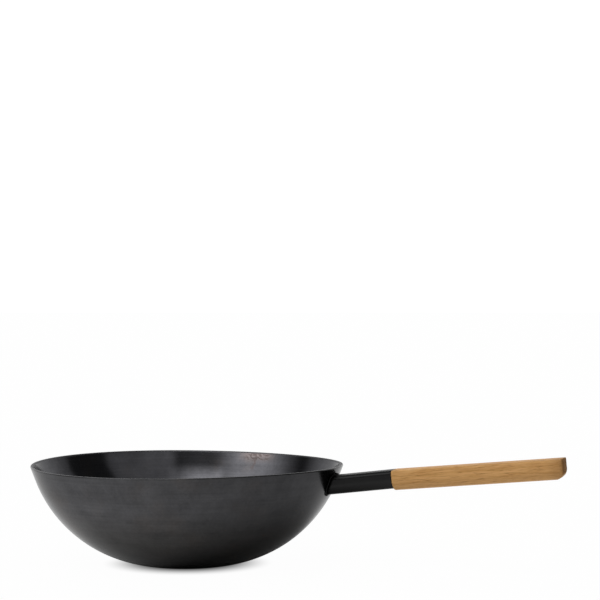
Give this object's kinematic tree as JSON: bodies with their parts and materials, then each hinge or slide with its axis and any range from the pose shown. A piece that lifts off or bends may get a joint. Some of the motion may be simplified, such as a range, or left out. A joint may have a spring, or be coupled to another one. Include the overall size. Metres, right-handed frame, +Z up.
{
  "type": "wok",
  "caption": "Deep flat-bottomed steel wok with one long handle: a tubular steel neck welded to the wall and an oak grip with a flat top and a round belly.",
  "frame": {"origin": "centre of the flat base, on the surface that the wok stands on", "axes": "+Z up, +X along the handle from the bowl to the end of the grip, +Y across the handle"},
  "size_m": [0.5645, 0.329, 0.1208],
  "materials": {
    "blued_steel": "blued and oiled, satin with faint turning marks",
    "black_steel": "satin black",
    "zinc_steel": "zinc plated",
    "oak": "oiled, grain along the grip",
    "oak_end_grain": "oiled end grain"
  },
  "bodies": {
    "root": {"bowl": "blued_steel", "handle_neck": "black_steel", "neck_weld": "black_steel", "neck_plug": "zinc_steel", "grip": "oak", "draw_screw": "zinc_steel", "plain_washer": "zinc_steel", "spring_washer": "zinc_steel", "grip_pellet": "oak_end_grain"}
  },
  "joints": []
}
